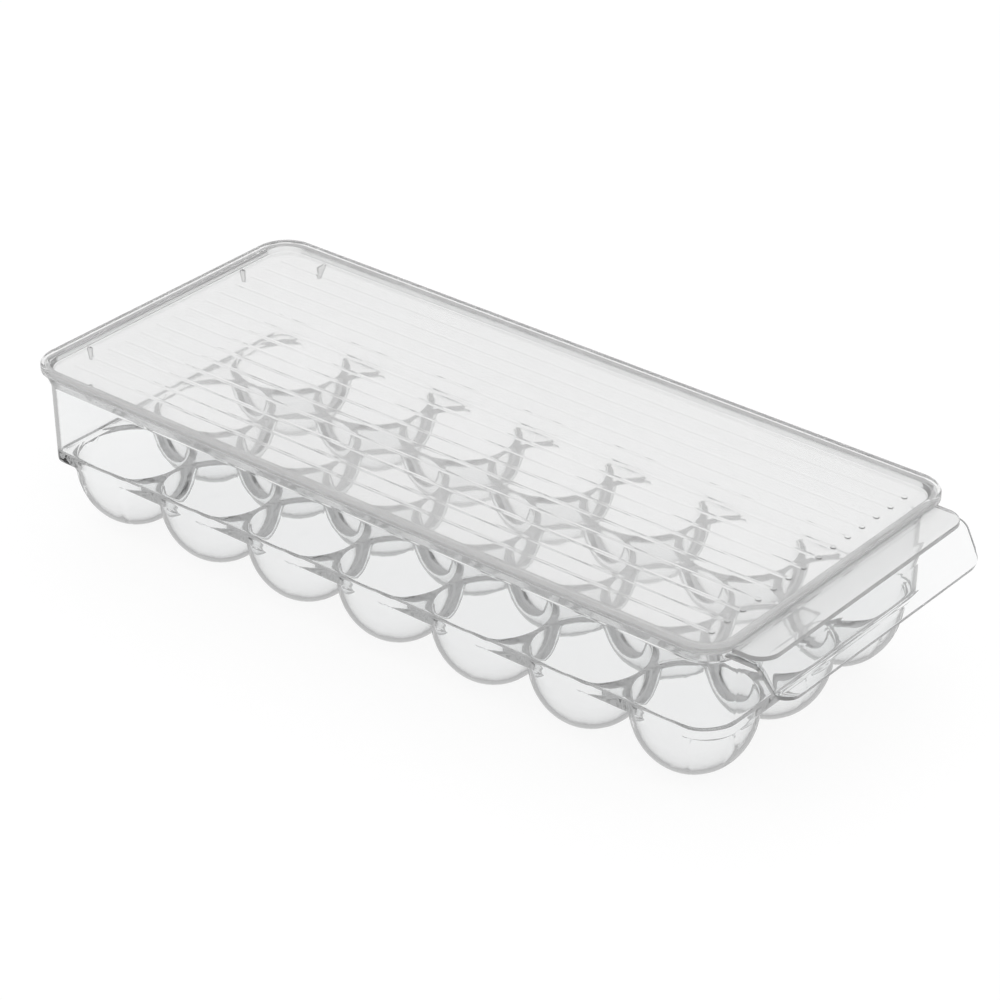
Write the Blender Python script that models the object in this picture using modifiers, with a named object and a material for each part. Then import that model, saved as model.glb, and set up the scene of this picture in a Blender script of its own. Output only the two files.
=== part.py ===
# Covered holder for the fridge: a clear moulded tray with a field of round cups, and a lift-off lid.
# Metres, +Z up. The origin is under the middle of the whole holder, on the surface that it stands on.
# The handle points along +X, and the long sides run along X.

import math

import bmesh
import bpy

# Cup field
CUP_COLUMNS = 7
CUP_ROWS = 3
CUP_RADIUS = 0.0232
CUP_DROP = 0.0268
CUP_SINK = 0.0037
CUP_WALL = 0.0018
CUP_WEB_X = 0.0018
CUP_WEB_Y = 0.0016
FOOT_RADIUS = 0.0036

# Tray walls, from the outer cups' widest line to the outside of the wall at the floor.
# The side walls cut into the outer rows, whose cups are flat there and lie inside the walls.
TRAY_WALL = 0.0018
FLOOR_THICKNESS = 0.0030
BACK_LEDGE = 0.0013
FRONT_LEDGE = 0.0001
SIDE_CUT = 0.0021
CUP_INSET = 0.0006
BACK_CORNER = 0.0065
FRONT_CORNER = 0.0140
WALL_HEIGHT = 0.0318
DRAFT_DEGREES = 1.2

# Tray rim, which flares out of the wall and stands up inside the lid's edge
FLARE_HEIGHT = 0.0070
RIM_STAND = 0.0029
RIM_WALL = 0.0015
RIM_LEDGE_X = 0.0034
RIM_LEDGE_Y = 0.0036
RIM_CORNER = 0.0132

# Handle, a bent plate under the lid's lip
HANDLE_WIDTH = 0.134
HANDLE_THICKNESS = 0.0019
HANDLE_SHELF = 0.0111
HANDLE_RUN = 0.0064
HANDLE_DROP = 0.0100
HANDLE_TOE = 0.0052
HANDLE_TOE_DROP = 0.0016
HANDLE_BEND = 0.0050
TOE_BEND = 0.0026
HANDLE_CORNER = 0.0110
HANDLE_CLEARANCE = 0.0005

# Lid, with a raised edge round a recessed plate
LID_CLEARANCE = 0.0003
SKIRT_WALL = 0.0015
SKIRT_DROP = 0.0017
EDGE_THICKNESS = 0.0018
EDGE_WIDTH = 0.0037
EDGE_ROUND = 0.0007
RECESS_DEPTH = 0.0036
RECESS_SLOPE = 0.0018
PLATE_THICKNESS = 0.0020

# Lid's lift lip over the handle
LIP_REACH = 0.0134
LIP_WIDTH = 0.133
LIP_CORNER = 0.0090
LIP_ROOT = 0.0010

# Raised lines on the plate, each ending in a round dot
LINE_COUNT = 14
LINE_PITCH = 0.00963
LINE_WIDTH = 0.0010
LINE_HEIGHT = 0.0004
LINE_END_GAP = 0.0134
DOT_RADIUS = 0.0013

# Guide ribs under the plate, which keep the lid in the tray's mouth.
# They stand beside the outer cups' centres: past them along X, and short of them along Y.
GUIDE_THICKNESS = 0.0012
GUIDE_DEPTH = 0.0054
GUIDE_REACH = 0.0012
GUIDE_GAP = 0.0004
GUIDE_PAST_X = 0.0014
GUIDE_SHORT_Y = 0.0015

# How far a cutter or a joined piece runs past a surface
OVERRUN = 0.002

# Facets
CUP_SEGMENTS = 20
CUP_RINGS = 5
CORNER_STEPS = 6
BEND_STEPS = 4
DOT_SEGMENTS = 10
SMOOTH_DEGREES = 35

# Points closer together than this are one point
WELD_DISTANCE = 0.000004

# Levels and places worked out from the sizes above
cup_outer_radius = CUP_RADIUS + CUP_WALL
cup_outer_drop = CUP_DROP + CUP_WALL
foot_drop = cup_outer_drop * math.sqrt(1 - (FOOT_RADIUS / cup_outer_radius) ** 2)
cup_centre_z = foot_drop
floor_z = cup_centre_z + CUP_SINK
flare_foot_z = floor_z + WALL_HEIGHT
flare_top_z = flare_foot_z + FLARE_HEIGHT
rim_top_z = flare_top_z + RIM_STAND
channel_z = rim_top_z + LID_CLEARANCE
lid_top_z = channel_z + EDGE_THICKNESS
skirt_foot_z = channel_z - SKIRT_DROP
plate_top_z = lid_top_z - RECESS_DEPTH
plate_foot_z = plate_top_z - PLATE_THICKNESS
handle_z = plate_foot_z - HANDLE_CLEARANCE - HANDLE_THICKNESS / 2

cup_pitch_x = 2 * CUP_RADIUS + CUP_WEB_X
cup_pitch_y = 2 * CUP_RADIUS + CUP_WEB_Y
field_half_x = (CUP_COLUMNS - 1) / 2 * cup_pitch_x
field_half_y = (CUP_ROWS - 1) / 2 * cup_pitch_y
back_margin = cup_outer_radius + BACK_LEDGE
front_margin = cup_outer_radius + FRONT_LEDGE
side_margin = cup_outer_radius - SIDE_CUT
rim_margin_x = cup_outer_radius + RIM_LEDGE_X
rim_margin_y = cup_outer_radius + RIM_LEDGE_Y
wall_spread = math.tan(math.radians(DRAFT_DEGREES)) * WALL_HEIGHT
wall_inner_half_y = field_half_y + side_margin + wall_spread - TRAY_WALL
wall_inner_back = field_half_x + back_margin + wall_spread - TRAY_WALL
rim_inner_half_y = field_half_y + rim_margin_y - RIM_WALL
rim_inner_back = field_half_x + rim_margin_x - RIM_WALL
flare_slope = (rim_inner_half_y - wall_inner_half_y) / FLARE_HEIGHT
lid_edge = LID_CLEARANCE + SKIRT_WALL
lid_half_x = field_half_x + rim_margin_x + lid_edge
handle_reach = lid_half_x + HANDLE_SHELF + HANDLE_RUN + HANDLE_TOE
field_x = -(handle_reach - lid_half_x) / 2

parts = bpy.data.collections.new("egg_holder")
cutters = bpy.data.collections.new("cutters")


def clear_scene():
    for item in list(bpy.data.objects):
        bpy.data.objects.remove(item, do_unlink=True)
    bpy.context.scene.collection.children.link(parts)
    bpy.context.scene.collection.children.link(cutters)


def make_material(name, colour, roughness):
    material = bpy.data.materials.new(name)
    material.use_nodes = True
    shader = material.node_tree.nodes["Principled BSDF"]
    shader.inputs["Base Color"].default_value = colour
    shader.inputs["Roughness"].default_value = roughness
    shader.inputs["Metallic"].default_value = 0
    shader.inputs["Transmission Weight"].default_value = 0.9
    return material


def add_object(name, bm, collection):
    bmesh.ops.recalc_face_normals(bm, faces=bm.faces[:])
    mesh = bpy.data.meshes.new(name)
    bm.to_mesh(mesh)
    bm.free()
    item = bpy.data.objects.new(name, mesh)
    collection.objects.link(item)
    if collection is cutters:
        item.hide_render = True
        item.display_type = "WIRE"
    return item


def combine(item, other, operation):
    modifier = item.modifiers.new(other.name, "BOOLEAN")
    modifier.operation = operation
    modifier.object = other
    modifier.solver = "EXACT"


# A rounded rectangle in plan, with its own corner radius at the back and at the front
def rounded_outline(back_x, front_x, half_y, back_corner, front_corner, z):
    corners = [
        (front_x, half_y, front_corner, 0),
        (back_x, half_y, back_corner, 90),
        (back_x, -half_y, back_corner, 180),
        (front_x, -half_y, front_corner, 270),
    ]
    points = []
    for x, y, radius, start in corners:
        centre_x = x - math.copysign(radius, x - (back_x + front_x) / 2)
        centre_y = y - math.copysign(radius, y)
        for step in range(CORNER_STEPS + 1):
            angle = math.radians(start + 90 * step / CORNER_STEPS)
            points.append((centre_x + radius * math.cos(angle), centre_y + radius * math.sin(angle), z))
    return points


# A solid through a stack of outlines that all have as many points
def loft(name, outlines, collection):
    bm = bmesh.new()
    rings = [[bm.verts.new(point) for point in outline] for outline in outlines]
    for low, high in zip(rings, rings[1:]):
        for i in range(len(low)):
            j = (i + 1) % len(low)
            bm.faces.new((low[i], low[j], high[j], high[i]))
    bm.faces.new(rings[0])
    bm.faces.new(rings[-1])
    return add_object(name, bm, collection)


def block(name, low, high, collection):
    bm = bmesh.new()
    bmesh.ops.create_cube(bm, size=1)
    size = [b - a for a, b in zip(low, high)]
    middle = [(a + b) / 2 for a, b in zip(low, high)]
    bmesh.ops.scale(bm, verts=bm.verts[:], vec=size)
    bmesh.ops.translate(bm, verts=bm.verts[:], vec=middle)
    return add_object(name, bm, collection)


def cup_centres(parity):
    centres = []
    for column in range(CUP_COLUMNS):
        for row in range(CUP_ROWS):
            if (column + row) % 2 == parity:
                x = field_x - field_half_x + column * cup_pitch_x
                y = -field_half_y + row * cup_pitch_y
                centres.append((x, y, cup_centre_z))
    return centres


# Half an ellipse as a profile from the lowest point to the highest, cut flat at the foot if it has one
def cup_profile(radius, drop, foot_radius):
    start = math.acos(foot_radius / radius)
    profile = [(0, -drop * math.sin(start))]
    for step in range(CUP_RINGS):
        angle = start * (1 - step / CUP_RINGS)
        profile.append((radius * math.cos(angle), -drop * math.sin(angle)))
    for step in range(CUP_RINGS // 2):
        angle = math.pi / 2 * step / (CUP_RINGS // 2)
        profile.append((radius * math.cos(angle), drop * math.sin(angle)))
    profile.append((0, drop))
    return profile


# Turned solids of one profile round each of the centres
def turned_group(name, profile, centres):
    bm = bmesh.new()
    for centre in centres:
        points = [bm.verts.new((centre[0] + r, centre[1], centre[2] + z)) for r, z in profile]
        edges = [bm.edges.new(pair) for pair in zip(points, points[1:])]
        turn = 2 * math.pi
        bmesh.ops.spin(bm, geom=points + edges, axis=(0, 0, 1), cent=centre, angle=turn, steps=CUP_SEGMENTS)
    bmesh.ops.remove_doubles(bm, verts=bm.verts[:], dist=WELD_DISTANCE)
    return add_object(name, bm, cutters)


def tray_outline(spread, z):
    return rounded_outline(
        field_x - field_half_x - back_margin - spread,
        field_x + field_half_x + front_margin + spread,
        field_half_y + side_margin + spread,
        BACK_CORNER + spread,
        FRONT_CORNER + spread,
        z,
    )


def rim_outline(spread, z):
    return rounded_outline(
        field_x - field_half_x - rim_margin_x - spread,
        field_x + field_half_x + rim_margin_x + spread,
        field_half_y + rim_margin_y + spread,
        RIM_CORNER + spread,
        RIM_CORNER + spread,
        z,
    )


# Cups are held inside this prism, which stands inside the outline of the walls
def hold_inside(item, inset):
    low = tray_outline(-inset, -OVERRUN)
    high = tray_outline(-inset, flare_foot_z)
    combine(item, loft(item.name + "_limit", [low, high], cutters), "INTERSECT")
    return item


# A bent path in X and Z: straight runs joined by arcs, each given by its corner and bend radius
def bent_path(corners):
    path = [corners[0][:2]]
    for (ax, az, _), (bx, bz, radius), (cx, cz, _) in zip(corners, corners[1:], corners[2:]):
        before = math.atan2(bz - az, bx - ax)
        after = math.atan2(cz - bz, cx - bx)
        turn = after - before
        side = math.copysign(1, turn)
        tangent = radius * math.tan(abs(turn) / 2)
        start_x = bx - tangent * math.cos(before)
        start_z = bz - tangent * math.sin(before)
        centre_x = start_x - side * radius * math.sin(before)
        centre_z = start_z + side * radius * math.cos(before)
        for step in range(BEND_STEPS + 1):
            angle = before + turn * step / BEND_STEPS
            x = centre_x + side * radius * math.sin(angle)
            z = centre_z - side * radius * math.cos(angle)
            path.append((x, z))
    path.append(corners[-1][:2])
    return path


# The handle's width along its path: full at the tray, and rounded off at the toe
def handle_half_width(left):
    if left >= HANDLE_CORNER:
        return HANDLE_WIDTH / 2
    inset = HANDLE_CORNER - left
    return HANDLE_WIDTH / 2 - HANDLE_CORNER + math.sqrt(HANDLE_CORNER**2 - inset**2)


def build_handle():
    front = field_x + lid_half_x
    corners = [
        (front - rim_margin_x, handle_z, 0),
        (front + HANDLE_SHELF, handle_z, HANDLE_BEND),
        (front + HANDLE_SHELF + HANDLE_RUN, handle_z - HANDLE_DROP, TOE_BEND),
        (field_x + handle_reach, handle_z - HANDLE_DROP - HANDLE_TOE_DROP, 0),
    ]
    path = bent_path(corners)
    toe_x, toe_z = path[-1]
    knee_x, knee_z = path[-2]
    for step in range(1, BEND_STEPS):
        share = math.sin(math.pi / 2 * step / BEND_STEPS)
        path.insert(-1, (knee_x + (toe_x - knee_x) * share, knee_z + (toe_z - knee_z) * share))
    left = [0]
    for (ax, az), (bx, bz) in zip(path[::-1], path[-2::-1]):
        left.append(left[-1] + math.hypot(bx - ax, bz - az))
    left.reverse()
    bm = bmesh.new()
    rows = []
    for (x, z), rest in zip(path, left):
        half = handle_half_width(rest)
        rows.append((bm.verts.new((x, -half, z)), bm.verts.new((x, half, z))))
    for low, high in zip(rows, rows[1:]):
        bm.faces.new((low[0], high[0], high[1], low[1]))
    handle = add_object("handle_plate", bm, cutters)
    shell = handle.modifiers.new("thickness", "SOLIDIFY")
    shell.thickness = HANDLE_THICKNESS
    shell.offset = 0
    shell.use_even_offset = True
    return handle


def build_tray(material):
    outer = [
        tray_outline(0, floor_z - FLOOR_THICKNESS),
        tray_outline(0, floor_z),
        tray_outline(wall_spread, flare_foot_z),
        rim_outline(0, flare_top_z),
        rim_outline(0, rim_top_z),
    ]
    tray = loft("tray", outer, parts)
    shell_profile = cup_profile(cup_outer_radius, cup_outer_drop, FOOT_RADIUS)
    hollow_profile = cup_profile(CUP_RADIUS, CUP_DROP, 0)
    for parity in (0, 1):
        shells = turned_group(f"cup_shells_{parity}", shell_profile, cup_centres(parity))
        combine(tray, hold_inside(shells, CUP_INSET), "UNION")
    combine(tray, build_handle(), "UNION")
    inner = [
        tray_outline(-TRAY_WALL, floor_z),
        tray_outline(wall_spread - TRAY_WALL, flare_foot_z),
        rim_outline(-RIM_WALL, flare_top_z),
        rim_outline(-RIM_WALL, rim_top_z + OVERRUN),
    ]
    combine(tray, loft("tray_interior", inner, cutters), "DIFFERENCE")
    hollows = turned_group("cup_hollows", hollow_profile, cup_centres(0) + cup_centres(1))
    combine(tray, hold_inside(hollows, CUP_INSET + CUP_WALL), "DIFFERENCE")
    tray.data.materials.append(material)
    return tray


# The lid's section, from the plate's underside round the raised edge to the plate's top.
# The plate's lower edge is bevelled to follow the tray's flare.
def lid_rings():
    channel_side = lid_edge + RIM_WALL + LID_CLEARANCE
    bevel_height = max(flare_top_z - plate_foot_z, 0) + LID_CLEARANCE
    section = [
        (channel_side + bevel_height * flare_slope, plate_foot_z),
        (channel_side, plate_foot_z + bevel_height),
        (channel_side, channel_z),
        (SKIRT_WALL, channel_z),
        (SKIRT_WALL, skirt_foot_z),
        (0, skirt_foot_z),
        (0, lid_top_z - EDGE_ROUND),
        (EDGE_ROUND, lid_top_z),
        (EDGE_WIDTH, lid_top_z),
        (EDGE_WIDTH + RECESS_SLOPE, plate_top_z),
    ]
    return [rim_outline(lid_edge - inset, z) for inset, z in section]


# The lift lip, with its front corners rounded and its root standing up inside the lid's skirt
def build_lip():
    front = field_x + lid_half_x
    root = front - SKIRT_WALL
    half = LIP_WIDTH / 2
    points = [(root, half), (root, -half)]
    for side, start in ((-1, -90), (1, 0)):
        centre_x = front + LIP_REACH - LIP_CORNER
        centre_y = side * (half - LIP_CORNER)
        for step in range(CORNER_STEPS + 1):
            angle = math.radians(start + 90 * step / CORNER_STEPS)
            points.append((centre_x + LIP_CORNER * math.cos(angle), centre_y + LIP_CORNER * math.sin(angle)))
    outlines = [[(x, y, z) for x, y in points] for z in (plate_foot_z, plate_top_z)]
    lip = loft("lift_lip", outlines, cutters)
    low = (root, -half, plate_foot_z)
    high = (root + LIP_ROOT, half, skirt_foot_z + LIP_ROOT)
    combine(lip, block("lip_root", low, high, cutters), "UNION")
    return lip


def line_places():
    return [(i - (LINE_COUNT - 1) / 2) * LINE_PITCH for i in range(LINE_COUNT)]


def build_lines():
    end = lid_half_x - LINE_END_GAP
    bm = bmesh.new()
    for y in line_places():
        made = bmesh.ops.create_cube(bm, size=1)["verts"]
        bmesh.ops.scale(bm, verts=made, vec=(2 * end, LINE_WIDTH, 2 * LINE_HEIGHT))
        bmesh.ops.translate(bm, verts=made, vec=(field_x, y, plate_top_z))
    return add_object("plate_lines", bm, cutters)


def build_dots():
    end = lid_half_x - LINE_END_GAP
    bm = bmesh.new()
    for y in line_places():
        made = bmesh.ops.create_cone(
            bm, cap_ends=True, segments=DOT_SEGMENTS, radius1=DOT_RADIUS, radius2=DOT_RADIUS, depth=2 * LINE_HEIGHT
        )["verts"]
        bmesh.ops.translate(bm, verts=made, vec=(field_x + end, y, plate_top_z))
    return add_object("plate_dots", bm, cutters)


# A guide rib hangs from the plate and follows the slope inside the tray's rim
def build_guides():
    top_z = plate_foot_z + PLATE_THICKNESS / 2
    foot_z = plate_foot_z - GUIDE_DEPTH

    def face_at(wall, rim, z):
        share = max((z - flare_foot_z) / FLARE_HEIGHT, 0)
        return wall + (rim - wall) * min(share, 1) - GUIDE_GAP

    side_x = -(field_half_x + GUIDE_PAST_X)
    end_y = field_half_y - GUIDE_SHORT_Y
    places = [(side_x, side, wall_inner_half_y, rim_inner_half_y) for side in (-1, 1)]
    places += [(side * end_y, 0, wall_inner_back, rim_inner_back) for side in (-1, 1)]
    bm = bmesh.new()
    for along, side, wall, rim in places:
        foot = face_at(wall, rim, foot_z)
        shoulder = face_at(wall, rim, plate_foot_z)
        outline = [(foot - GUIDE_REACH, foot_z), (foot, foot_z), (shoulder, plate_foot_z)]
        outline += [(shoulder, top_z), (foot - GUIDE_REACH, top_z)]
        rings = []
        for offset in (-GUIDE_THICKNESS / 2, GUIDE_THICKNESS / 2):
            if side:
                ring = [(field_x + along + offset, side * out, z) for out, z in outline]
            else:
                ring = [(field_x - out, along + offset, z) for out, z in outline]
            rings.append([bm.verts.new(point) for point in ring])
        bm.faces.new(rings[0])
        bm.faces.new(rings[1])
        for i in range(len(outline)):
            j = (i + 1) % len(outline)
            bm.faces.new((rings[0][i], rings[0][j], rings[1][j], rings[1][i]))
    return add_object("guide_ribs", bm, cutters)


def build_lid(material):
    lid = loft("lid", lid_rings(), parts)
    combine(lid, build_lip(), "UNION")
    combine(lid, build_guides(), "UNION")
    combine(lid, build_lines(), "UNION")
    combine(lid, build_dots(), "UNION")
    lid.data.materials.append(material)
    return lid


def main():
    clear_scene()
    tray_plastic = make_material("tray_clear_plastic", (0.90, 0.92, 0.92, 1), 0.06)
    lid_plastic = make_material("lid_clear_plastic", (0.93, 0.94, 0.94, 1), 0.08)
    tray = build_tray(tray_plastic)
    lid = build_lid(lid_plastic)
    for item in (tray, lid):
        item.data.shade_smooth()
        item.data.set_sharp_from_angle(angle=math.radians(SMOOTH_DEGREES))


main()
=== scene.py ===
# Clear covered holder for the fridge: a moulded tray with a field of cups, and a lift-off lid.
# Metres throughout. Shapes are worked out from the middle of the cup field, at a level inside the
# tray's floor, and moved into the frame when their meshes are made.
import math
import bmesh
import bpy
import numpy as np
from mathutils import Matrix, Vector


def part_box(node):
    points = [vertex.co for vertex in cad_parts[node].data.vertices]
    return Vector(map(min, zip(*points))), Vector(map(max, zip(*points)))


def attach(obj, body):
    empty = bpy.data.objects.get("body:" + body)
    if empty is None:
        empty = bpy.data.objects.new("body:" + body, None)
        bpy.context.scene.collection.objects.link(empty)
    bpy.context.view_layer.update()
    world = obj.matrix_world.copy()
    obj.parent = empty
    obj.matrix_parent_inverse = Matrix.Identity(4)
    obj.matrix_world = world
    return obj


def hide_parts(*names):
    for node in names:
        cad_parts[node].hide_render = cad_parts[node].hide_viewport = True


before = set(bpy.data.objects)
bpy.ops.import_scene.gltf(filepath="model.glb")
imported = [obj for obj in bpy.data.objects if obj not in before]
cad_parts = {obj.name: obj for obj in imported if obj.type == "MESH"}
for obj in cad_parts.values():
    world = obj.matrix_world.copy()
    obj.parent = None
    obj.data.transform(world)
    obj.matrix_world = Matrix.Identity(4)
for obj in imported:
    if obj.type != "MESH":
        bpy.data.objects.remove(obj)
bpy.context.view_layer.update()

# Sizes that the tray and the lid share
shared = {
    "columns": 7,
    "rows": 3,
    "pitchX": 0.0482,
    "pitchY": 0.0480,
    "zeroHeight": 0.030802,    # level zero above the feet
    "rimMarginX": 0.0284,      # outer cups' centres to the outside of the rim
    "rimMarginY": 0.0286,
    "rimCorner": 0.0132,
    "rimWall": 0.0015,
    "flareTop": 0.0400,
    "rimTop": 0.0429,
}
fieldX = (shared["columns"] - 1) / 2 * shared["pitchX"]
fieldY = (shared["rows"] - 1) / 2 * shared["pitchY"]
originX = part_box("tray")[0].x + fieldX + shared["rimMarginX"]


# Circular blends: the smaller or the larger of two distances, with a fillet where they meet
def softMin(a, b, k):
    return np.maximum(k, np.minimum(a, b)) - np.hypot(np.maximum(k - a, 0), np.maximum(k - b, 0))


def softMax(a, b, k):
    return -softMin(-a, -b, k)


# A line through corner points with an arc at each inner corner
def filletPath(corners, radii, steps=5):
    path = [corners[0]]
    for before, corner, after, radius in zip(corners, corners[1:], corners[2:], radii):
        p0, p1, p2 = (np.array(p, float) for p in (before, corner, after))
        a, b = (p0 - p1) / np.linalg.norm(p0 - p1), (p2 - p1) / np.linalg.norm(p2 - p1)
        half = math.acos(max(-1, min(1, float(a @ b)))) / 2
        reach = radius / math.tan(half)
        bisector = (a + b) / np.linalg.norm(a + b)
        centre = p1 + bisector * radius / math.sin(half)
        start, end = p1 + a * reach - centre, p1 + b * reach - centre
        turn = math.atan2(start[0] * end[1] - start[1] * end[0], float(start @ end))
        for i in range(steps + 1):
            angle = turn * i / steps
            c, s = math.cos(angle), math.sin(angle)
            x = centre[0] + c * start[0] - s * start[1]
            y = centre[1] + s * start[0] + c * start[1]
            path.append((x, y))
    path.append(corners[-1])
    return path


def makeObject(name, verts, faces):
    mesh = bpy.data.meshes.new(name)
    mesh.from_pydata([(x + originX, y, z + shared["zeroHeight"]) for x, y, z in verts], [], faces)
    item = bpy.data.objects.new(name, mesh)
    bpy.context.scene.collection.objects.link(item)
    return item


# The object's evaluated mesh as a plain mesh of its own, with the modifiers gone
def settle(item):
    graph = bpy.context.evaluated_depsgraph_get()
    mesh = bpy.data.meshes.new_from_object(item.evaluated_get(graph))
    item.modifiers.clear()
    old = item.data
    item.data = mesh
    if old.users == 0:
        bpy.data.meshes.remove(old)
    return item


def unite(item, other):
    join = item.modifiers.new("join", "BOOLEAN")
    join.operation = "UNION"
    join.object = other
    join.solver = "EXACT"
    settle(item)
    bpy.data.objects.remove(other)
    return item


def softenEdges(item, width, segments=3, sharp=50):
    soft = item.modifiers.new("edges", "BEVEL")
    soft.width = width
    soft.segments = segments
    soft.limit_method = "ANGLE"
    soft.angle_limit = math.radians(sharp)
    settle(item)


# Doubles merged, faces turned outwards, and edges sharper than an angle in degrees kept crisp
def tidyMesh(item, weld=1e-7, sharp=35):
    bm = bmesh.new()
    bm.from_mesh(item.data)
    bmesh.ops.remove_doubles(bm, verts=bm.verts[:], dist=weld)
    bmesh.ops.dissolve_degenerate(bm, edges=bm.edges[:], dist=weld)
    bmesh.ops.recalc_face_normals(bm, faces=bm.faces[:])
    if bm.calc_volume(signed=True) < 0:
        bmesh.ops.reverse_faces(bm, faces=bm.faces[:])
    openEdges = sum(1 for e in bm.edges if len(e.link_faces) != 2)
    bm.to_mesh(item.data)
    bm.free()
    item.data.shade_smooth()
    item.data.set_sharp_from_angle(angle=math.radians(sharp))
    count = sum(len(p.vertices) - 2 for p in item.data.polygons)
    print(item.name, "triangles", count, "open or doubled edges", openEdges)
    return item


# The tray's outline
tray = {
    "cupRadius": 0.0232,
    "cupDrop": 0.0268,
    "cupSink": 0.0025,       # widest level of a cup below level zero
    "wall": 0.0018,
    "floorTop": 0.0012,      # the floor runs from here
    "floorFoot": -0.0018,    # down to here
    "footRadius": 0.0036,
    "mouthRound": 0.0009,    # rounding from the floor into a cup
    "cupInset": 0.0006,      # cups stay this far inside the planes of the walls
    "cupFlat": 0.0020,       # rounding from a cup into that flat
    "webRound": 0.0006,      # fillet between two hollows
    "grooveRound": 0.0028,   # fillet between two cups underneath
    "underRound": 0.0012,    # floor into a cup, underneath
    "ledgeRound": 0.0004,    # floor's lower edge at the wall
    "cornerRound": 0.0024,   # floor into wall, inside
    "backMargin": 0.0263,
    "frontMargin": 0.0251,
    "sideMargin": 0.0229,
    "backCorner": 0.0065,
    "frontCorner": 0.0140,
    "flareFoot": 0.0330,
    "draft": math.tan(math.radians(1.2)),
    "eye": 0.0140,           # level inside the tray that the cups' outsides are sampled from
    "highEye": 0.0500,       # the same for their insides
    "flareBends": (0.0030, 0.0022),
    "flareRun": 0.005,       # width over which those bends are drawn
    "curl": 0.0004,          # rounding of the rim's top
    "curlSteps": 3,
    "edgeSamples": 13,       # samples along half an edge of a cup's cell
    "toArcSteps": 14,
    "arcSteps": 9,
    "fromArcSteps": 12,
    "leaveBy": 0.00004,      # distance at which the skin has left a cup's round shape
    "leaveTests": (0.2, 0.96, 77),
    "cupRings": 9,
    "blendRings": 6,
    "hollowRings": 11,
    "mouthPower": 3,         # how late the hollow's rings take on the mouth's own radius
    "mouthTurns": (0.4, 0.8, 1.2, 1.57),
    "floorShares": (0.33, 0.66),
    "wallRings": 11,
    "wallCrowding": 1.35,    # more rings low on the wall
}
rays = {
    "halvings": 44,
    "pastWall": 0.006,
    "toMouth": 0.026,
    "longest": 0.100,
    "seamLevels": (-0.040, 0.005),
    "seamHalvings": 40,
}


# Outline at a level: share 0 is the wall's and 1 the rim's, inset is measured inwards
def extents(z, share=0.0, inset=0.0):
    spread = tray["draft"] * min(z, tray["flareFoot"])
    mix = lambda wall, rim: (wall + spread) * (1 - share) + rim * share - inset
    return {
        "back": mix(fieldX + tray["backMargin"], fieldX + shared["rimMarginX"]),
        "front": mix(fieldX + tray["frontMargin"], fieldX + shared["rimMarginX"]),
        "side": mix(fieldY + tray["sideMargin"], fieldY + shared["rimMarginY"]),
        "backCorner": mix(tray["backCorner"], shared["rimCorner"]),
        "frontCorner": mix(tray["frontCorner"], shared["rimCorner"]),
    }


# A station is one place on the outline that keeps its share of the way at every level
def stationPoint(station, ext):
    kind, a, endSign, sideSign = station
    reach = ext["front"] if endSign > 0 else ext["back"]
    radius = ext["frontCorner"] if endSign > 0 else ext["backCorner"]
    if kind == "side":
        return a, sideSign * ext["side"]
    if kind == "end":
        return endSign * reach, a
    if kind == "toArc":
        seam = fieldX - shared["pitchX"] / 2
        return endSign * (seam + (reach - radius - seam) * a), sideSign * ext["side"]
    if kind == "arc":
        angle = math.pi / 2 * a
        x = reach - radius + radius * math.sin(angle)
        return endSign * x, sideSign * (ext["side"] - radius + radius * math.cos(angle))
    seam = fieldY - shared["pitchY"] / 2
    return endSign * reach, sideSign * (seam + (ext["side"] - radius - seam) * (1 - a))


def wallDistance(x, y, z, inset):
    spread = tray["draft"] * np.maximum(z, tray["floorFoot"])
    back = fieldX + tray["backMargin"] + spread - inset
    front = fieldX + tray["frontMargin"] + spread - inset
    side = fieldY + tray["sideMargin"] + spread - inset
    corner = np.where(x > 0, tray["frontCorner"], tray["backCorner"]) + spread - inset
    qx = np.abs(x - (front - back) / 2) - (front + back) / 2 + corner
    qy = np.abs(y) - side + corner
    outside = np.hypot(np.maximum(qx, 0), np.maximum(qy, 0))
    return outside + np.minimum(np.maximum(qx, qy), 0) - corner


def cupDistance(x, y, z, grow):
    radius, drop = tray["cupRadius"] + grow, tray["cupDrop"] + grow
    return np.hypot(np.hypot(x, y), (z + tray["cupSink"]) * radius / drop) - radius


# Below zero inside the hollow (inner) or inside the moulding's outer skin (outer)
def field(cell, inner, x, y, z):
    column, row = cell
    grow = 0 if inner else tray["wall"]
    cx = column * shared["pitchX"] - fieldX
    cy = row * shared["pitchY"] - fieldY
    d = cupDistance(x - cx, y - cy, z, grow)
    blend = tray["webRound"] if inner else tray["grooveRound"]
    for dc, dr in ((1, 0), (-1, 0), (0, 1), (0, -1)):
        if 0 <= column + dc < shared["columns"] and 0 <= row + dr < shared["rows"]:
            dx, dy = dc * shared["pitchX"], dr * shared["pitchY"]
            d = softMin(d, cupDistance(x - cx - dx, y - cy - dy, z, grow), blend)
    wall = wallDistance(x, y, z, tray["wall"] if inner else 0)
    d = softMax(d, wall + tray["cupInset"], tray["cupFlat"])
    if inner:
        space = softMax(wall, tray["floorTop"] - z, tray["cornerRound"])
        return softMin(d, space, tray["mouthRound"])
    space = softMax(wall, tray["floorFoot"] - z, tray["ledgeRound"])
    return softMin(d, space, tray["underRound"])


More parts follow.
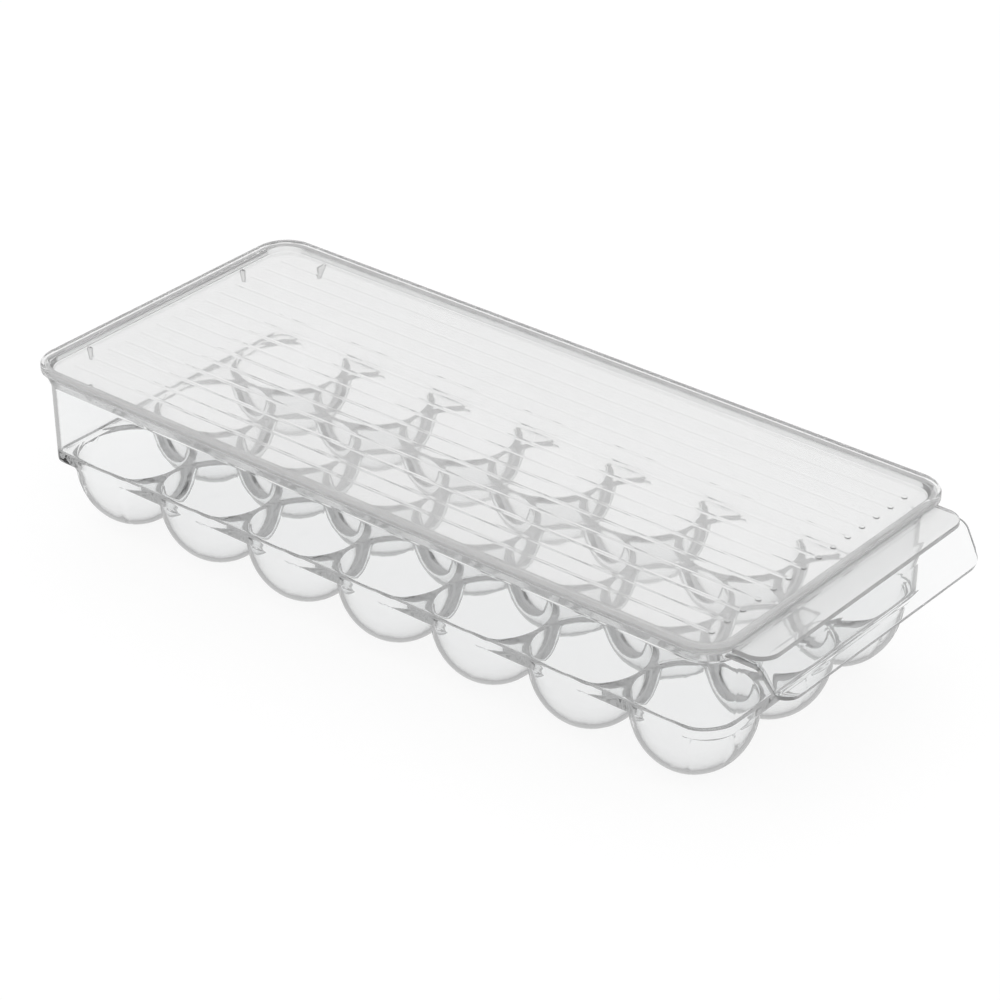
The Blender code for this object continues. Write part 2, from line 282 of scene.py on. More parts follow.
# Furthest point inside the field along rays from eye points towards target points
def castRays(cell, inner, eye, target, limit):
    low, high = np.zeros(len(target)), np.array(limit, float)
    way = target - eye
    length = np.linalg.norm(way, axis=1)
    way = way / length[:, None]
    for _ in range(rays["halvings"]):
        middle = (low + high) / 2
        p = eye + way * middle[:, None]
        inside = field(cell, inner, p[:, 0], p[:, 1], p[:, 2]) <= 0
        low, high = np.where(inside, middle, low), np.where(inside, high, middle)
    points = eye + way * ((low + high) / 2)[:, None]
    if not inner:   # flat foot
        deep = points[:, 2] < -shared["zeroHeight"]
        scale = (-shared["zeroHeight"] - eye[:, 2]) / np.where(way[:, 2] < -1e-9, way[:, 2], -1)
        points = np.where(deep[:, None], eye + way * scale[:, None], points)
    return points


# Samples round a cell: seam samples lie on the planes between cells, wall samples on stations
def cellEdge(column, row):
    n = tray["edgeSamples"]
    px, py = shared["pitchX"] / 2, shared["pitchY"] / 2
    cx, cy = column * 2 * px - fieldX, row * 2 * py - fieldY
    endSign = 1 if column == shared["columns"] - 1 else -1 if column == 0 else 0
    sideSign = 1 if row == shared["rows"] - 1 else -1 if row == 0 else 0
    floorExt = extents(0, 0, tray["wall"])
    farX = (floorExt["front"] if endSign > 0 else floorExt["back"]) - fieldX
    farY = floorExt["side"] - fieldY
    right = farX if endSign > 0 else px
    left = farX if endSign < 0 else px
    top = farY if sideSign > 0 else py
    bottom = farY if sideSign < 0 else py
    tangent = [math.tan(math.pi / 4 * i / n) for i in range(n)]
    edge = []

    def corner(xSign, ySign):
        x = cx + (right if xSign > 0 else -left)
        y = cy + (top if ySign > 0 else -bottom)
        onEnd, onSide = endSign == xSign, sideSign == ySign
        if onEnd and onSide:
            before, turn, after = tray["toArcSteps"], tray["arcSteps"], tray["fromArcSteps"]
            steps = [("toArc", i / before) for i in range(1, before)]
            steps += [("arc", i / turn) for i in range(turn + 1)]
            steps += [("fromArc", i / after) for i in range(1, after)]
            made = [("wall", (kind, a, endSign, sideSign)) for kind, a in steps]
            return made if xSign * ySign < 0 else made[::-1]
        if onEnd:
            return [("both", ("end", y, endSign, 0), "y")]
        if onSide:
            return [("both", ("side", x, 0, sideSign), "x")]
        return [("seam", (x, y))]

    # Anticlockwise from the lower right corner: a corner, then the straight side that follows it,
    # sampled by the angle seen from the cup's middle. A corner cell's arc takes up its walls.
    for xSign, ySign, kind, before, after in (
        (1, -1, "end", bottom, top),
        (1, 1, "side", right, left),
        (-1, 1, "end", top, bottom),
        (-1, -1, "side", left, right),
    ):
        edge.extend(corner(xSign, ySign))
        atEnd = kind == "end"
        out, run = (xSign, -ySign) if atEnd else (ySign, -xSign)
        onWall = out == (endSign if atEnd else sideSign)
        if onWall and endSign and sideSign:
            continue
        steps = [-before * t for t in tangent[:0:-1]] + [0.0] + [after * t for t in tangent[1:]]
        for step in steps:
            along = (cy if atEnd else cx) + run * step
            spot = (cx + out * px, along) if atEnd else (along, cy + out * py)
            station = (kind, along, out, 0) if atEnd else (kind, along, 0, out)
            edge.append(("wall", station) if onWall else ("seam", spot))
    return edge


# Angles of the rings outside, from the eye above the cup: some as far as its skin is round, and
# some from there to the seam or the wall
def outsideTurns(ringAt, middle, endAngle):
    first = math.atan2(-shared["zeroHeight"] - tray["eye"], tray["footRadius"])
    low, high, tests = tray["leaveTests"]
    leave = np.full(len(endAngle), low)
    for share in np.linspace(low, high, tests):
        x, y, z = ringAt(first + (endAngle - first) * share).T
        off = cupDistance(x - middle[0], y - middle[1], z, tray["wall"])
        leave = np.where(np.abs(off) < tray["leaveBy"], share, leave)
    rounds, blends = tray["cupRings"], tray["blendRings"]
    shares = [leave * k / rounds for k in range(rounds)]
    shares += [leave + (1 - leave) * k / blends for k in range(blends)]
    return [first + (endAngle - first) * share for share in shares]


# The same inside: up the hollow and over its mouth, whose radius is given by direction
def insideTurns(mouth):
    radius, drop, sink = tray["cupRadius"], tray["cupDrop"], tray["cupSink"]
    top, bend = tray["floorTop"], tray["mouthRound"]
    last = math.asin((top - bend + sink) / drop)
    count = tray["hollowRings"]
    profile = []
    for k in range(1, count + 1):
        a = -math.pi / 2 + (math.pi / 2 + last) * k / count
        share = (k / count) ** tray["mouthPower"]
        wide = radius * math.cos(a) + (mouth - radius * math.cos(last)) * share
        profile.append((wide, drop * math.sin(a) - sink))
    for a in tray["mouthTurns"]:
        profile.append((mouth + bend * (1 - math.cos(a)), top - bend + bend * math.sin(a)))
    return [np.arctan2(z - tray["highEye"], r) for r, z in profile]


# A cup's cell as one skin: rings in the cup, and beside a wall rings up to the tray's eye level
def cellSkin(column, row, inner, edge):
    cell = (column, row)
    inset = tray["wall"] if inner else 0
    level = tray["floorTop"] if inner else tray["floorFoot"]
    cx = column * shared["pitchX"] - fieldX
    cy = row * shared["pitchY"] - fieldY
    eye = np.array([cx, cy, tray["highEye"] if inner else tray["eye"]])
    base = np.zeros((len(edge), 3))
    for j, sample in enumerate(edge):
        if sample[0] == "seam":
            base[j, :2] = sample[1]
        else:
            base[j, :2] = stationPoint(sample[1], extents(level, 0, inset))
            base[j, 2] = level
    # Height of the skin on the seams
    seam = np.array([sample[0] == "seam" for sample in edge])
    low, high = (np.full(len(edge), level) for level in rays["seamLevels"])
    for _ in range(rays["seamHalvings"]):
        middle = (low + high) / 2
        outside = field(cell, inner, base[:, 0], base[:, 1], middle) > 0
        low, high = np.where(outside, middle, low), np.where(outside, high, middle)
    base[seam, 2] = ((low + high) / 2)[seam]
    # Rings on the wall, each on its own level; a sample on a seam is cast within its plane
    wallRows = []
    walls = [j for j, sample in enumerate(edge) if sample[0] != "seam"]
    for k in range(tray["wallRings"] + 1):
        z = level + (tray["eye"] - level) * (k / tray["wallRings"]) ** tray["wallCrowding"]
        ext = extents(z, 0, inset)
        target = [[*stationPoint(edge[j][1], ext), z] for j in walls]
        target = np.array(target).reshape(-1, 3)
        eyes = np.tile(eye, (len(walls), 1))
        for i, j in enumerate(walls):
            if edge[j][0] == "both":
                axis = 0 if edge[j][2] == "x" else 1
                eyes[i, axis] = target[i, axis]
        if walls and k < tray["wallRings"]:
            reach = np.linalg.norm(target - eyes, axis=1) + rays["pastWall"]
            target = castRays(cell, inner, eyes, target, reach)
        wallRows.append(target)
    if walls:
        base[walls] = wallRows[0]
    # Rings in the cup
    flat = base[:, :2] - eye[:2]
    reach = np.linalg.norm(flat, axis=1)
    endAngle = np.arctan2(base[:, 2] - eye[2], reach)

    def ringAt(angle):
        c, s = np.cos(angle), np.sin(angle)
        way = np.stack([flat[:, 0] / reach * c, flat[:, 1] / reach * c, s], 1)
        spare = np.where(seam, 0, rays["pastWall"])
        limit = np.minimum(rays["longest"], (reach + spare) / np.maximum(c, 1e-6))
        eyes = np.tile(eye, (len(edge), 1))
        return castRays(cell, inner, eyes, eyes + way, limit)

    if inner:
        level = tray["floorTop"] - tray["mouthRound"]
        middle = np.array([[cx, cy, level]])
        out = np.column_stack([base[:, :2], np.full(len(edge), level)])
        mouth = castRays(cell, True, middle, out, np.minimum(reach, rays["toMouth"]))
        mouth = np.hypot(mouth[:, 0] - cx, mouth[:, 1] - cy)
        turns = insideTurns(mouth)
        angles = [np.minimum(turn, endAngle) for turn in turns]
        angles += [angles[-1] + (endAngle - angles[-1]) * share for share in tray["floorShares"]]
    else:
        angles = outsideTurns(ringAt, (cx, cy), endAngle)
    rows = [ringAt(angle) for angle in angles] + [base]
    pole = castRays(cell, inner, eye[None], eye[None] - [[0, 0, 1]], [rays["longest"]])[0]
    return pole, rows, walls, wallRows


# Rings from the outer wall at the eye's level over the rim and down inside: share, inset, level
def rimPath():
    run = tray["flareRun"]
    corners = [(0, tray["eye"]), (0, tray["flareFoot"])]
    corners += [(run, shared["flareTop"]), (run, shared["rimTop"])]
    line = [(u / run, z) for u, z in filletPath(corners, tray["flareBends"])]
    wall, rim, curl = tray["wall"], shared["rimWall"], tray["curl"]
    path = [(share, 0, z) for share, z in line[:-1]]
    top = shared["rimTop"]
    turns = [math.pi / 2 * i / tray["curlSteps"] for i in range(tray["curlSteps"] + 1)]
    for a in turns:
        path.append((1, curl - curl * math.cos(a), top - curl + curl * math.sin(a)))
    for a in turns:
        path.append((1, rim - curl + curl * math.sin(a), top - curl + curl * math.cos(a)))
    path += [(share, wall + (rim - wall) * share, z) for share, z in line[:-1][::-1]]
    return path


# Skins and rim of some of the cells, as vertices and faces
def trayCells(columns):
    verts, faces = [], []

    def strip(lower, upper, pairs, flip):
        for a, b in pairs:
            quad = [lower[a], lower[b], upper[b], upper[a]]
            faces.append(quad[::-1] if flip else quad)

    for column in columns:
        for row in range(shared["rows"]):
            edge = cellEdge(column, row)
            count = len(edge)
            around = [(j, (j + 1) % count) for j in range(count)]
            for inner in (False, True):
                pole, rows, walls, wallRows = cellSkin(column, row, inner, edge)
                start = len(verts)
                verts.append(tuple(pole))
                rings = []
                for points in rows:
                    rings.append(range(len(verts), len(verts) + count))
                    verts.extend(map(tuple, points))
                for a, b in around:
                    faces.append([start, rings[0][b], rings[0][a]][:: -1 if inner else 1])
                for lower, upper in zip(rings, rings[1:]):
                    strip(lower, upper, around, inner)
                last = {j: rings[-1][j] for j in walls}
                pairs = [(a, b) for a, b in around if a in last and b in last]
                for points in wallRows[1:]:
                    here = {}
                    for j, point in zip(walls, points):
                        here[j] = len(verts)
                        verts.append(tuple(point))
                    strip(last, here, pairs, inner)
                    last = here
            if walls:
                last = None
                for share, inset, z in rimPath():
                    here = {}
                    for j in walls:
                        here[j] = len(verts)
                        verts.append((*stationPoint(edge[j][1], extents(z, share, inset)), z))
                    if last:
                        strip(last, here, pairs, False)
                    last = here
    return verts, faces


# Geometry Nodes: copies of a piece in a row
def rowTree():
    tree = bpy.data.node_groups.new("copies in a row", "GeometryNodeTree")
    face = tree.interface
    face.new_socket("Geometry", in_out="INPUT", socket_type="NodeSocketGeometry")
    face.new_socket("Piece", in_out="INPUT", socket_type="NodeSocketObject")
    face.new_socket("Count", in_out="INPUT", socket_type="NodeSocketInt")
    face.new_socket("Pitch", in_out="INPUT", socket_type="NodeSocketVector")
    face.new_socket("Material", in_out="INPUT", socket_type="NodeSocketMaterial")
    face.new_socket("Geometry", in_out="OUTPUT", socket_type="NodeSocketGeometry")
    node = tree.nodes.new
    given, made = node("NodeGroupInput"), node("NodeGroupOutput")
    line, piece = node("GeometryNodeMeshLine"), node("GeometryNodeObjectInfo")
    copies = node("GeometryNodeInstanceOnPoints")
    realize, dress = node("GeometryNodeRealizeInstances"), node("GeometryNodeSetMaterial")
    less, scale = node("ShaderNodeMath"), node("ShaderNodeVectorMath")
    # The row starts at pitch * (0.5 - count / 2)
    less.operation, scale.operation = "MULTIPLY_ADD", "SCALE"
    less.inputs[1].default_value, less.inputs[2].default_value = -0.5, 0.5
    link = tree.links.new
    link(given.outputs["Count"], less.inputs[0])
    link(given.outputs["Pitch"], scale.inputs["Vector"])
    link(less.outputs[0], scale.inputs["Scale"])
    link(given.outputs["Count"], line.inputs["Count"])
    link(scale.outputs["Vector"], line.inputs["Start Location"])
    link(given.outputs["Pitch"], line.inputs["Offset"])
    link(given.outputs["Piece"], piece.inputs["Object"])
    link(line.outputs["Mesh"], copies.inputs["Points"])
    link(piece.outputs["Geometry"], copies.inputs["Instance"])
    link(copies.outputs["Instances"], realize.inputs["Geometry"])
    link(realize.outputs["Geometry"], dress.inputs["Geometry"])
    link(given.outputs["Material"], dress.inputs["Material"])
    link(dress.outputs["Geometry"], made.inputs["Geometry"])
    return tree


def copiesInRow(name, tree, piece, count, pitch, material):
    item = bpy.data.objects.new(name, bpy.data.meshes.new(name))
    bpy.context.scene.collection.objects.link(item)
    build = item.modifiers.new("copies", "NODES")
    build.node_group = tree
    values = {"Piece": piece, "Count": count, "Pitch": pitch, "Material": material}
    for socket in tree.interface.items_tree:
        if socket.in_out == "INPUT" and socket.name in values:
            build[socket.identifier] = values[socket.name]
    settle(item)
    bpy.data.objects.remove(piece)
    return item


def addMesh(item, other):
    bm = bmesh.new()
    bm.from_mesh(item.data)
    bm.from_mesh(other.data)
    bm.to_mesh(item.data)
    bm.free()
    bpy.data.objects.remove(other)


# Clear moulded plastic
def clearPlastic(name, look):
    material = bpy.data.materials.new(name)
    material.use_nodes = True
    tree = material.node_tree
    node, link = tree.nodes.new, tree.links.new
    shader = tree.nodes["Principled BSDF"]
    shader.inputs["IOR"].default_value = look["ior"]
    shader.inputs["Transmission Weight"].default_value = look["through"]
    place = node("ShaderNodeTexCoord")
    flow = node("ShaderNodeMapping")      # moulding flow runs along the length
    flow.inputs["Scale"].default_value = look["flowScale"]
    link(place.outputs["Object"], flow.inputs["Vector"])
    streaks, grain = node("ShaderNodeTexNoise"), node("ShaderNodeTexNoise")
    streaks.inputs["Scale"].default_value = look["streakScale"]
    streaks.inputs["Detail"].default_value = look["streakDetail"]
    grain.inputs["Scale"].default_value = look["grainScale"]
    grain.inputs["Detail"].default_value = look["grainDetail"]
    link(flow.outputs["Vector"], streaks.inputs["Vector"])
    link(place.outputs["Object"], grain.inputs["Vector"])
    colour = node("ShaderNodeMix")
    colour.data_type = "RGBA"
    colour.inputs["A"].default_value = look["clear"]
    colour.inputs["B"].default_value = look["dull"]
    link(streaks.outputs["Fac"], colour.inputs["Factor"])
    link(colour.outputs["Result"], shader.inputs["Base Color"])
    rough = node("ShaderNodeMapRange")
    rough.inputs["To Min"].default_value, rough.inputs["To Max"].default_value = look["roughness"]
    link(streaks.outputs["Fac"], rough.inputs["Value"])
    link(rough.outputs["Result"], shader.inputs["Roughness"])
    bump = node("ShaderNodeBump")
    bump.inputs["Strength"].default_value = look["bump"]
    bump.inputs["Distance"].default_value = look["bumpDepth"]
    link(grain.outputs["Fac"], bump.inputs["Height"])
    link(bump.outputs["Normal"], shader.inputs["Normal"])
    return material


trayLook = {
    "ior": 1.49,
    "clear": (0.995, 0.998, 0.998, 1),
    "dull": (0.975, 0.98, 0.982, 1),
    "through": 1.0,
    "roughness": (0.012, 0.035),
    "flowScale": (0.25, 1, 1),
    "streakScale": 40.0,
    "streakDetail": 3,
    "grainScale": 90.0,
    "grainDetail": 2,
    "bump": 0.10,
    "bumpDepth": 0.0002,
}
lidLook = {   # faintly milky
    "ior": 1.49,
    "clear": (0.995, 0.995, 0.995, 1),
    "dull": (0.975, 0.975, 0.975, 1),
    "through": 0.80,
    "roughness": (0.02, 0.05),
    "flowScale": (0.2, 1, 1),
    "streakScale": 40.0,
    "streakDetail": 3,
    "grainScale": 70.0,
    "grainDetail": 2,
    "bump": 0.12,
    "bumpDepth": 0.0002,
}
trayPlastic = clearPlastic("clearTrayPlastic", trayLook)
lidPlastic = clearPlastic("clearLidPlastic", lidLook)
copiesTree = rowTree()

# Tray
middle = makeObject("middleColumn", *trayCells([shared["columns"] // 2]))
columns = shared["columns"] - 2
step = (shared["pitchX"], 0, 0)
trayBody = copiesInRow("trayBody", copiesTree, middle, columns, step, trayPlastic)
addMesh(trayBody, makeObject("endColumns", *trayCells([0, shared["columns"] - 1])))
trayBody.data.materials.clear()
trayBody.data.materials.append(trayPlastic)
tidyMesh(trayBody, weld=2e-6, sharp=42)

# The handle: a bent plate out of the rim's flare, with a turned toe and rounded corners
handle = {
    "halfWidth": 0.0670,
    "thickness": 0.0019,
    "level": 0.03795,       # middle of the plate above level zero
    "shelf": 0.0111,        # runs out past the lid's edge
    "run": 0.0064,
    "drop": 0.0100,
    "toe": 0.0052,
    "toeDrop": 0.0016,
    "bend": 0.0050,
    "toeBend": 0.0026,
    "farCorner": 0.0110,
    "root": 0.0008,         # how far it starts inside the wall
    "behind": 0.0060,       # its path starts this far behind the lid's edge
    "bendSteps": 8,
    "toeSteps": 9,
    "acrossSteps": 28,
    "edgeRound": 0.0005,
}
lidEdge = 0.0018            # lid's outer face outside the rim's


def buildHandle():
    h = handle
    front = fieldX + shared["rimMarginX"] + lidEdge
    share = (h["level"] - tray["flareFoot"]) / (shared["flareTop"] - tray["flareFoot"])
    ext = extents(h["level"], share, h["root"])
    corners = [
        (front - h["behind"], h["level"]),
        (front + h["shelf"], h["level"]),
        (front + h["shelf"] + h["run"], h["level"] - h["drop"]),
        (front + h["shelf"] + h["run"] + h["toe"], h["level"] - h["drop"] - h["toeDrop"]),
    ]
    path = filletPath(corners, [h["bend"], h["toeBend"]], h["bendSteps"])
    knee, tip = path[-2], path[-1]
    path = path[:-1]
    for i in range(1, h["toeSteps"] + 1):
        t = math.sin(math.pi / 2 * i / h["toeSteps"])
        path.append((knee[0] + (tip[0] - knee[0]) * t, knee[1] + (tip[1] - knee[1]) * t))
    left = [0]
    for a, b in zip(path[::-1], path[-2::-1]):
        left.append(left[-1] + math.dist(a, b))
    left.reverse()
    verts, faces = [], []
    n, r, turn = h["acrossSteps"], h["farCorner"], ext["frontCorner"]
    for i, ((x, z), rest) in enumerate(zip(path, left)):
        half = h["halfWidth"]
        if rest < r:
            half = half - r + math.sqrt(max(r * r - (r - rest) ** 2, 0))
        for k in range(n + 1):
            y = half * (2 * k / n - 1)
            if i == 0:   # follows the outline of the tray
                over = max(abs(y) - (ext["side"] - turn), 0)
                x = ext["front"] - turn + math.sqrt(max(turn**2 - over**2, 0))
            verts.append((x, y, z))
    for i in range(len(path) - 1):
        for k in range(n):
            a = i * (n + 1) + k
            faces.append((a, a + 1, a + n + 2, a + n + 1))
    item = makeObject("handlePlate", verts, faces)
    shell = item.modifiers.new("thickness", "SOLIDIFY")
    shell.thickness = h["thickness"]
    shell.offset = 0
    shell.use_even_offset = True
    softenEdges(item, h["edgeRound"])
    return tidyMesh(item)


unite(trayBody, buildHandle())
tidyMesh(trayBody, weld=1e-6, sharp=42)
print("tray built")

# Lid
lid = {
    "skirtWall": 0.0015,
    "skirtFoot": 0.0415,     # levels above level zero
    "channel": 0.0432,
    "top": 0.0450,
    "plateTop": 0.0414,
    "plateFoot": 0.0394,
    "edgeWidth": 0.0037,
    "slope": 0.0018,
    "channelSide": 0.0036,
    "bevel": 0.0009,         # plate's lower edge, where it follows the tray's flare
    "bevelSlope": 0.76,
    "inboard": 0.030,        # the section is drawn from here, inside the edge
    "rounds": [0.0003, 0.0003, 0.0004, 0.0003, 0.0003, 0.0005, 0.0010, 0.0042, 0.0012],
    "roundSteps": 6,
    "cornerSteps": 16,
}


def lidRing(inset, z):
    ext = {
        "x": fieldX + shared["rimMarginX"] + lidEdge - inset,
        "y": fieldY + shared["rimMarginY"] + lidEdge - inset,
        "r": shared["rimCorner"] + lidEdge - inset,
    }
    n = lid["cornerSteps"]
    ring = []
    for k, (sx, sy) in enumerate(((1, 1), (-1, 1), (-1, -1), (1, -1))):   # anticlockwise
        for i in range(n + 1):
            a = math.pi / 2 * (k + i / n)
            x = sx * (ext["x"] - ext["r"]) + ext["r"] * math.cos(a)
            y = sy * (ext["y"] - ext["r"]) + ext["r"] * math.sin(a)
            ring.append((x, y, z))
    return ring


def buildLidBody():
    p = lid
    corners = [
        (p["inboard"], p["plateFoot"]),
        (p["channelSide"] + p["bevel"] * p["bevelSlope"], p["plateFoot"]),
        (p["channelSide"], p["plateFoot"] + p["bevel"]),
        (p["channelSide"], p["channel"]),
        (p["skirtWall"], p["channel"]),
        (p["skirtWall"], p["skirtFoot"]),
        (0, p["skirtFoot"]),
        (0, p["top"]),
        (p["edgeWidth"], p["top"]),
        (p["edgeWidth"] + p["slope"], p["plateTop"]),
        (p["inboard"], p["plateTop"]),
    ]
    path = filletPath(corners, p["rounds"], p["roundSteps"])
    rings = [lidRing(inset, z) for inset, z in path[1:-1]]
    # Flat plate inside the innermost rings
    verts = [v for ring in rings for v in ring]
    n = len(rings[0])
    faces = []
    for k in range(len(rings) - 1):
        for i in range(n):
            j = (i + 1) % n
            faces.append((k * n + i, k * n + j, (k + 1) * n + j, (k + 1) * n + i))
    faces.append(tuple(range(n))[::-1])
    faces.append(tuple((len(rings) - 1) * n + i for i in range(n)))
    return tidyMesh(makeObject("lidBody", verts, faces), weld=1e-6)


lip = {
    "reach": 0.0134,
    "halfWidth": 0.0665,
    "corner": 0.0090,
    "cornerSteps": 12,
    "root": 0.0010,
    "edgeRound": 0.0004,
}


def prism(name, outline, low, high, edgeRound=0.0):
    n = len(outline)
    verts = [(x, y, low) for x, y in outline] + [(x, y, high) for x, y in outline]
    faces = [tuple(range(n))[::-1], tuple(range(n, 2 * n))]
    faces += [(i, (i + 1) % n, n + (i + 1) % n, n + i) for i in range(n)]
    item = makeObject(name, verts, faces)
    if edgeRound:
        softenEdges(item, edgeRound)
    return tidyMesh(item)


def buildLip():
    front = fieldX + shared["rimMarginX"] + lidEdge
    root, half = front - lid["skirtWall"], lip["halfWidth"]
    outline = [(root, half), (root, -half)]
    for side, start in ((-1, -90), (1, 0)):
        cx, cy = front + lip["reach"] - lip["corner"], side * (half - lip["corner"])
        for i in range(lip["cornerSteps"] + 1):
            a = math.radians(start + 90 * i / lip["cornerSteps"])
            outline.append((cx + lip["corner"] * math.cos(a), cy + lip["corner"] * math.sin(a)))
    plate = prism("liftLip", outline[::-1], lid["plateFoot"], lid["plateTop"], lip["edgeRound"])
    neck = [(root, -half), (root + lip["root"], -half), (root + lip["root"], half), (root, half)]
    return unite(plate, prism("lipNeck", neck, lid["plateFoot"], lid["skirtFoot"] + lip["root"]))


guides = {
    "thickness": 0.0012,
    "depth": 0.0054,
    "reach": 0.0012,
    "gap": 0.0004,
    "bury": 0.0010,          # top inside the plate
    "sideX": 0.1460,
    "endY": 0.0465,
}


def buildGuides():
    g = guides
    topZ, footZ = lid["plateFoot"] + g["bury"], lid["plateFoot"] - g["depth"]
    verts, faces = [], []

    def faceAt(axis, z):
        share = max((z - tray["flareFoot"]) / (shared["flareTop"] - tray["flareFoot"]), 0)
        ext = extents(z, share, tray["wall"] + (shared["rimWall"] - tray["wall"]) * share)
        return ext[axis] - g["gap"]

    places = [(-g["sideX"], side, "side") for side in (-1, 1)]
    places += [(side * g["endY"], 0, "back") for side in (-1, 1)]
    for along, side, axis in places:
        foot, shoulder = faceAt(axis, footZ), faceAt(axis, lid["plateFoot"])
        outline = [(foot - g["reach"], footZ), (foot, footZ), (shoulder, lid["plateFoot"])]
        outline += [(shoulder, topZ), (foot - g["reach"], topZ)]
        start, n = len(verts), len(outline)
        for shift in (-g["thickness"] / 2, g["thickness"] / 2):
            for out, z in outline:
                verts.append((along + shift, side * out, z) if side else (-out, along + shift, z))
        faces.append(tuple(start + i for i in range(n)))
        faces.append(tuple(start + n + i for i in range(n))[::-1])
        for i in range(n):
            j = (i + 1) % n
            faces.append((start + i, start + j, start + n + j, start + n + i))
    return tidyMesh(makeObject("guideRibs", verts, faces))


lines = {
    "count": 14,
    "pitch": 0.00963,
    "halfLength": 0.1614,
    "width": 0.0026,
    "height": 0.00011,
    "bury": 0.0003,          # foot inside the plate
    "sectionPoints": 17,
    "dotRadius": 0.0012,
    "dotHeight": 0.0005,
    "dotRound": 0.0002,
    "dotSides": 24,
}


# A low soft ridge whose foot is buried in the plate
def buildLine():
    half, w, h = lines["halfLength"], lines["width"] / 2, lines["height"]
    across = np.linspace(1, -1, lines["sectionPoints"])
    section = [(w * t, h * (math.cos(math.pi * t) + 1) / 2) for t in across]
    section += [(-w, -lines["bury"]), (w, -lines["bury"])]
    n = len(section)
    verts = [(x, y, lid["plateTop"] + z) for x in (-half, half) for y, z in section]
    faces = [tuple(range(n)), tuple(range(n, 2 * n))[::-1]]
    faces += [(i, n + i, n + (i + 1) % n, (i + 1) % n) for i in range(n)]
    return tidyMesh(makeObject("plateLine", verts, faces))


def buildDot():
    r, top = lines["dotRadius"], lid["plateTop"]
    turns = np.linspace(0, 2 * math.pi, lines["dotSides"] + 1)[:-1]
    outline = [(lines["halfLength"] + r * math.cos(a), r * math.sin(a)) for a in turns]
    low, high = top - lines["bury"], top + lines["dotHeight"]
    return prism("plateDot", outline, low, high, lines["dotRound"])


lidBody = buildLidBody()
unite(lidBody, buildLip())
unite(lidBody, buildGuides())
count, step = lines["count"], (0, lines["pitch"], 0)
unite(lidBody, copiesInRow("plateLines", copiesTree, buildLine(), count, step, lidPlastic))
unite(lidBody, copiesInRow("plateDots", copiesTree, buildDot(), count, step, lidPlastic))
lidBody.data.materials.clear()
lidBody.data.materials.append(lidPlastic)
tidyMesh(lidBody, weld=1e-6)
keep = lidBody.modifiers.new("flat faces", "WEIGHTED_NORMAL")
keep.keep_sharp = True
settle(lidBody)
print("lid built")

for piece, body, node in ((trayBody, "tray", "tray"), (lidBody, "lid", "lid")):
    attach(piece, body)
    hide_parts(node)

# Floor, light and camera
studio = {
    "outside": (0.78, 0.88),  # reflections off the outside, level and overhead
    "inside": 0.44,           # light that has turned inside the plastic
    "bent": (1.0, 0.40),      # light bent by the plastic, level and upwards
    "bentTurn": (0.06, 0.35), # upward parts of a direction between which that changes
    "farFloor": 0.45,         # what the plastic bends from the floor far away
    "floorNear": 0.55,
    "floorFar": 1.5,
    "floorSize": 6.0,
    "glow": 0.90,
    "matt": 0.10,             # share of the floor that takes shadows
    "lampPower": 8.0,
}


def mapRange(tree, value, low, high, ends):
    made = tree.nodes.new("ShaderNodeMapRange")
    made.inputs["From Min"].default_value, made.inputs["From Max"].default_value = low, high
    made.inputs["To Min"].default_value, made.inputs["To Max"].default_value = ends
    tree.links.new(value, made.inputs["Value"])
    return made.outputs["Result"]


def mixValue(tree, factor, a, b):
    made = tree.nodes.new("ShaderNodeMix")
    tree.links.new(factor, made.inputs["Factor"])
    for name, value in (("A", a), ("B", b)):
        if isinstance(value, (int, float)):
            made.inputs[name].default_value = value
        else:
            tree.links.new(value, made.inputs[name])
    return made.outputs["Result"]


# White for the camera, and soft greys for what the plastic bends or reflects
def studioMix(tree, bent, outside, inside):
    path = tree.nodes.new("ShaderNodeLightPath")
    turned = tree.nodes.new("ShaderNodeMath")
    turned.operation = "GREATER_THAN"
    turned.inputs[1].default_value = 0.5
    tree.links.new(path.outputs["Glossy Depth"], turned.inputs[0])
    straight = mixValue(tree, path.outputs["Is Transmission Ray"], 1.0, bent)
    reflected = mixValue(tree, path.outputs["Is Reflection Ray"], inside, outside)
    return mixValue(tree, turned.outputs[0], straight, reflected)


world = bpy.data.worlds.new("studio")
bpy.context.scene.world = world
world.use_nodes = True
tree = world.node_tree
background = tree.nodes["Background"]
direction = tree.nodes.new("ShaderNodeTexCoord")
split = tree.nodes.new("ShaderNodeSeparateXYZ")
tree.links.new(direction.outputs["Generated"], split.inputs[0])
sky = mapRange(tree, split.outputs["Z"], 0.0, 1.0, studio["outside"])
bent = mapRange(tree, split.outputs["Z"], *studio["bentTurn"], studio["bent"])
tree.links.new(studioMix(tree, bent, sky, studio["inside"]), background.inputs["Color"])

floorMesh = bpy.data.meshes.new("floor")
half = studio["floorSize"]
corners = [(-half, -half, 0), (half, -half, 0), (half, half, 0), (-half, half, 0)]
floorMesh.from_pydata(corners, [], [(0, 1, 2, 3)])
floor = bpy.data.objects.new("floor", floorMesh)
bpy.context.scene.collection.objects.link(floor)
paper = bpy.data.materials.new("palePaper")
paper.use_nodes = True
tree = paper.node_tree
tree.nodes.clear()
out, glow, matt, add = (
    tree.nodes.new("ShaderNodeOutputMaterial"), tree.nodes.new("ShaderNodeEmission"),
    tree.nodes.new("ShaderNodeBsdfDiffuse"), tree.nodes.new("ShaderNodeAddShader"))
spotOn = tree.nodes.new("ShaderNodeTexCoord")
away = tree.nodes.new("ShaderNodeVectorMath")
away.operation = "LENGTH"
tree.links.new(spotOn.outputs["Object"], away.inputs[0])
ends = (1.0, studio["farFloor"])
fade = mapRange(tree, away.outputs["Value"], studio["floorNear"], studio["floorFar"], ends)
shade = studioMix(tree, fade, studio["outside"][0], studio["inside"])
